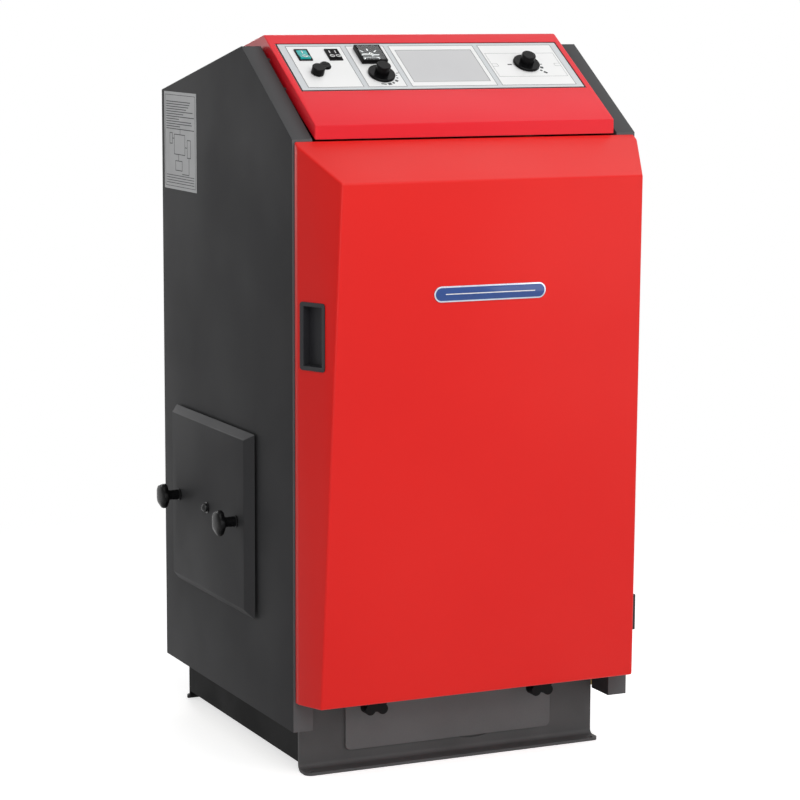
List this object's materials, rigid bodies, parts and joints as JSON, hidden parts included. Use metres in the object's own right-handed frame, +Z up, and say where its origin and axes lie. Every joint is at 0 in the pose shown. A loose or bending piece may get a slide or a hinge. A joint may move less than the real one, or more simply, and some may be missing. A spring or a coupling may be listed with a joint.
{
  "type": "solid fuel boiler",
  "caption": "Floor-standing solid fuel boiler in a sheet-metal casing with a large hinged front door, a sloping control hood, a side burner cover and rear flue and pipe connections.",
  "frame": {"origin": "on the floor under the centre of the outer box, with the front door closed and the side cover fitted", "axes": "+X to the boiler's right seen from the front, +Y from the front door to the flue, +Z up"},
  "size_m": [0.6894, 0.782, 1.209],
  "materials": {
    "casing_grey": "fine satin dark grey powder coat",
    "door_red": "satin red powder coat",
    "hood_red": "satin red powder coat",
    "body_paint": "matt heat-resistant grey paint",
    "raw_steel": "rolled steel, sooty on the fire side",
    "galvanised": "galvanised sheet",
    "cast_iron": "cast, matt",
    "refractory": "vibrated refractory concrete",
    "mineral_wool": "mineral wool mat",
    "door_board": "ceramic fibre board",
    "fascia_grey": "satin light grey",
    "plate_white": "white film plate",
    "window_grey": "plain grey blanking film",
    "black_plastic": "moulded black plastic",
    "cup_plastic": "moulded black plastic, fine grain",
    "teal_plastic": "translucent teal rocker",
    "red_plastic": "red button",
    "white_pointer": "white enamel",
    "clear_lens": "clear pane",
    "gasket_rubber": "black cellular rubber",
    "copper": "drawn copper pipe with brass ends",
    "zinc": "zinc-plated steel"
  },
  "bodies": {
    "boiler": {"front_plate": "body_paint", "water_jacket": "body_paint", "firebox_shell": "raw_steel", "refractory_lining": "refractory", "grate": "cast_iron", "exchanger_tubes": "raw_steel", "flue_spigot": "body_paint", "water_sockets": "zinc", "cooling_loop": "copper", "casing_insulation": "mineral_wool", "left_side_panel": "casing_grey", "right_side_panel": "casing_grey", "rear_panel": "casing_grey", "hood": "hood_red", "fascia": "fascia_grey", "switch_plate": "plate_white", "thermometer_plate": "plate_white", "controller_plate": "plate_white", "controller_window": "window_grey", "thermostat_plate": "plate_white", "switch_housings": "black_plastic", "safety_thermostat": "zinc", "fuse_holder": "black_plastic", "thermometer": "black_plastic", "thermometer_lens": "clear_lens", "thermostat_bodies": "zinc", "door_hinge_pins": "zinc", "door_catches": "black_plastic", "loading_door_hinge": "body_paint", "burner_flange": "body_paint"},
    "front_door": {"front_door_skin": "door_red", "front_door_pan": "galvanised", "front_door_insulation": "door_board", "door_handle_cup": "cup_plastic", "door_hinge_leaves": "door_red"},
    "loading_door": {"loading_door": "body_paint", "loading_door_block": "refractory"},
    "loading_handle": {"loading_door_handle": "black_plastic"},
    "ash_door": {"ash_cover": "body_paint"},
    "ash_left_knob": {"ash_cover_left_knob": "black_plastic"},
    "ash_right_knob": {"ash_cover_right_knob": "black_plastic"},
    "ash_pan": {"ash_pan": "galvanised"},
    "side_cover": {"side_cover": "casing_grey", "side_cover_gasket": "gasket_rubber", "side_cover_cap_nut": "black_plastic", "burner_blanking_plate": "raw_steel"},
    "side_front_knob": {"side_cover_front_knob": "black_plastic"},
    "side_rear_knob": {"side_cover_rear_knob": "black_plastic"},
    "rear_cover": {"rear_top_cover": "casing_grey"},
    "exchanger_lid": {"exchanger_lid": "body_paint"},
    "turbulators": {"turbulators": "raw_steel"},
    "power_rocker": {"power_rocker": "teal_plastic"},
    "left_pump_rocker": {"left_pump_rocker": "black_plastic"},
    "right_pump_rocker": {"right_pump_rocker": "black_plastic"},
    "safety_cap": {"safety_cap": "black_plastic"},
    "reset_button": {"reset_button": "red_plastic"},
    "fuse_cap": {"fuse_cap": "black_plastic"},
    "thermometer_pointer": {"thermometer_pointer": "white_pointer"},
    "boiler_knob": {"boiler_thermostat_knob": "black_plastic"},
    "flue_knob": {"flue_thermostat_knob": "black_plastic"}
  },
  "joints": [
    {"name": "front_door_hinge", "type": "hinge", "parent": "boiler", "child": "front_door", "pos_m": [0.33825, -0.293, 0.58], "axis": [0, 0, 1], "range_deg": [0, 115]},
    {"name": "loading_door_hinge", "type": "hinge", "parent": "boiler", "child": "loading_door", "pos_m": [0.21725, -0.2477, 0.73], "axis": [0, 0, 1], "range_deg": [0, 104]},
    {"name": "loading_handle_turn", "type": "hinge", "parent": "loading_door", "child": "loading_handle", "pos_m": [-0.11275, -0.2522, 0.73], "axis": [0, -1, 0], "range_deg": [0, 90]},
    {"name": "ash_door_slide", "type": "slide", "parent": "boiler", "child": "ash_door", "axis": [0, -1, 0], "range_m": [0, 0.262]},
    {"name": "ash_pan_slide", "type": "slide", "parent": "boiler", "child": "ash_pan", "axis": [0, -1, 0], "range_m": [0, 0.252]},
    {"name": "ash_left_knob_turn", "type": "hinge", "parent": "ash_door", "child": "ash_left_knob", "pos_m": [-0.13225, -0.2759, 0.12], "axis": [0, -1, 0], "range_deg": [0, 360]},
    {"name": "ash_right_knob_turn", "type": "hinge", "parent": "ash_door", "child": "ash_right_knob", "pos_m": [0.17675, -0.2759, 0.12], "axis": [0, -1, 0], "range_deg": [0, 360]},
    {"name": "side_cover_slide", "type": "slide", "parent": "boiler", "child": "side_cover", "axis": [-1, 0, 0], "range_m": [0, 0.15]},
    {"name": "side_front_knob_turn", "type": "hinge", "parent": "side_cover", "child": "side_front_knob", "pos_m": [-0.30675, -0.088, 0.402], "axis": [-1, 0, 0], "range_deg": [0, 360]},
    {"name": "side_rear_knob_turn", "type": "hinge", "parent": "side_cover", "child": "side_rear_knob", "pos_m": [-0.30675, 0.183, 0.402], "axis": [-1, 0, 0], "range_deg": [0, 360]},
    {"name": "rear_cover_lift", "type": "slide", "parent": "boiler", "child": "rear_cover", "axis": [0, 0, 1], "range_m": [0, 0.2]},
    {"name": "exchanger_lid_lift", "type": "slide", "parent": "boiler", "child": "exchanger_lid", "axis": [0, 0, 1], "range_m": [0, 0.1]},
    {"name": "turbulator_lift", "type": "slide", "parent": "boiler", "child": "turbulators", "axis": [0, 0, 1], "range_m": [0, 0.05]},
    {"name": "power_rocker_tilt", "type": "hinge", "parent": "boiler", "child": "power_rocker", "pos_m": [-0.19925, -0.12435, 1.17359], "axis": [1, 0, 0], "range_deg": [0, 14]},
    {"name": "left_pump_rocker_tilt", "type": "hinge", "parent": "boiler", "child": "left_pump_rocker", "pos_m": [-0.14525, -0.12435, 1.17359], "axis": [1, 0, 0], "range_deg": [0, 14]},
    {"name": "right_pump_rocker_tilt", "type": "hinge", "parent": "boiler", "child": "right_pump_rocker", "pos_m": [-0.14525, -0.12435, 1.17359], "axis": [1, 0, 0], "range_deg": [0, 14]},
    {"name": "safety_cap_unscrew", "type": "hinge", "parent": "boiler", "child": "safety_cap", "pos_m": [-0.19275, -0.17221, 1.1519], "axis": [0, -0.5402, 0.8416], "range_deg": [0, 360]},
    {"name": "reset_button_press", "type": "slide", "parent": "boiler", "child": "reset_button", "axis": [0, 0.5402, -0.8416], "range_m": [0, 0.0025], "stiffness_N_per_m": 400, "springref_m": -0.001},
    {"name": "fuse_cap_turn", "type": "hinge", "parent": "boiler", "child": "fuse_cap", "pos_m": [-0.17175, -0.1543, 1.16102], "axis": [0, -0.5402, 0.8416], "range_deg": [0, 60]},
    {"name": "thermometer_pointer_swing", "type": "hinge", "parent": "boiler", "child": "thermometer_pointer", "pos_m": [-0.081, -0.13128, 1.17699], "axis": [0, 0.5402, -0.8416], "range_deg": [0, 180]},
    {"name": "boiler_knob_turn", "type": "hinge", "parent": "boiler", "child": "boiler_knob", "pos_m": [-0.081, -0.17725, 1.14867], "axis": [0, 0.5402, -0.8416], "range_deg": [0, 270]},
    {"name": "flue_knob_turn", "type": "hinge", "parent": "boiler", "child": "flue_knob", "pos_m": [0.1975, -0.15538, 1.16271], "axis": [0, 0.5402, -0.8416], "range_deg": [0, 270]}
  ],
  "couplings": [
    {"joint": "loading_door_hinge", "follows": "front_door_hinge", "ratio": 0.9},
    {"joint": "ash_door_slide", "follows": "front_door_hinge", "m_per_rad": 0.13},
    {"joint": "ash_pan_slide", "follows": "front_door_hinge", "m_per_rad": 0.125},
    {"joint": "exchanger_lid_lift", "follows": "rear_cover_lift", "ratio": 0.5},
    {"joint": "turbulator_lift", "follows": "rear_cover_lift", "ratio": 0.25}
  ]
}
